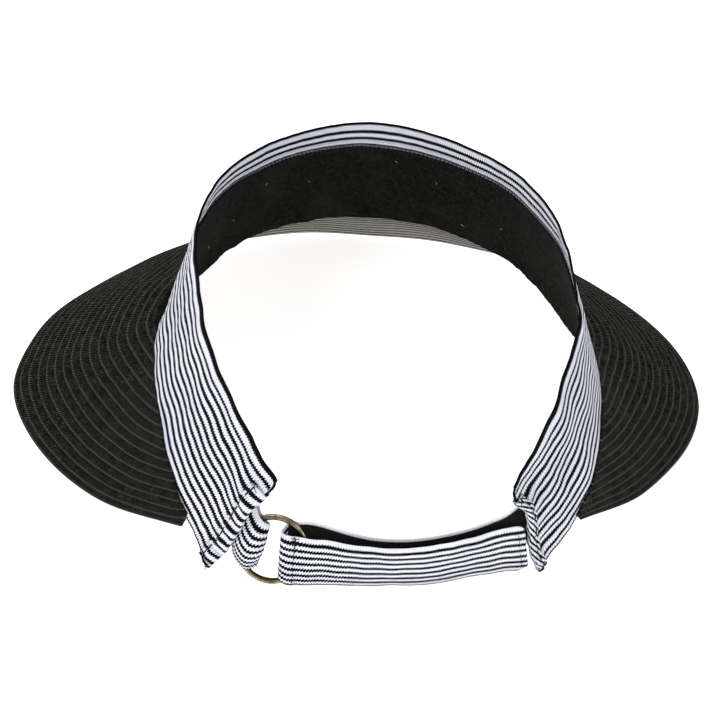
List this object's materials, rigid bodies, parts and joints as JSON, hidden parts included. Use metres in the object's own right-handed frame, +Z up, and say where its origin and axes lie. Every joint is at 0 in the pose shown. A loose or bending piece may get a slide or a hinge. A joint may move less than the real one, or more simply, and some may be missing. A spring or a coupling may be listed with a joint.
{
  "type": "sun visor",
  "caption": "Open-crown sun visor: wide sewn-braid brim, striped ribbon head band with a felt sweatband, and an adjustable ring-and-strap closure at the back.",
  "frame": {"origin": "centre of the bounding box in plan, at the height of the table the visor rests on", "axes": "+Z up, -Y towards the front of the brim, +X towards the wearer's left, the side the ring is on"},
  "size_m": [0.2636, 0.2252, 0.0947],
  "materials": {
    "striped_ribbon": "white and black striped grosgrain ribbon, matt",
    "narrow_ribbon": "white and black striped narrow grosgrain ribbon, matt",
    "felt": "black brushed felt",
    "paper_braid": "black paper braid with a slight sheen",
    "antique_brass": "antique, darkened",
    "loop_tape": "black fuzzy loops",
    "hook_tape": "black stiff hooks",
    "thread": "black sewing thread"
  },
  "bodies": {
    "visor": {"ribbon_band": "striped_ribbon", "sweatband": "felt", "sweatband_thread": "thread", "brim_braid_01": "paper_braid", "brim_braid_02": "paper_braid", "brim_braid_03": "paper_braid", "brim_braid_04": "paper_braid", "brim_braid_05": "paper_braid", "brim_braid_06": "paper_braid", "brim_braid_07": "paper_braid", "brim_braid_08": "paper_braid", "brim_braid_09": "paper_braid", "brim_braid_10": "paper_braid", "brim_braid_11": "paper_braid", "brim_braid_12": "paper_braid", "brim_braid_13": "paper_braid", "brim_braid_14": "paper_braid", "brim_braid_15": "paper_braid", "brim_braid_16": "paper_braid", "ring_tab": "narrow_ribbon", "strap_fold": "narrow_ribbon", "strap_run": "narrow_ribbon", "loop_tape": "loop_tape", "hem_thread_left": "thread", "hem_thread_right": "thread", "fold_thread": "thread"},
    "ring": {"ring": "antique_brass"},
    "tail": {"strap_tail": "narrow_ribbon", "hook_tape": "hook_tape", "tail_thread_tip": "thread"}
  },
  "joints": [
    {"name": "ring_turn", "type": "hinge", "parent": "visor", "child": "ring", "pos_m": [0.0399, 0.10185, 0.01315], "axis": [0.121, 0.9193, 0.3746], "continuous": true},
    {"name": "tail_peel", "type": "hinge", "parent": "visor", "child": "tail", "pos_m": [0.0281, 0.1034, 0.01315], "axis": [0.0489, 0.3714, -0.9272], "range_deg": [0, 100], "deforming": ["strap_fold"]}
  ]
}
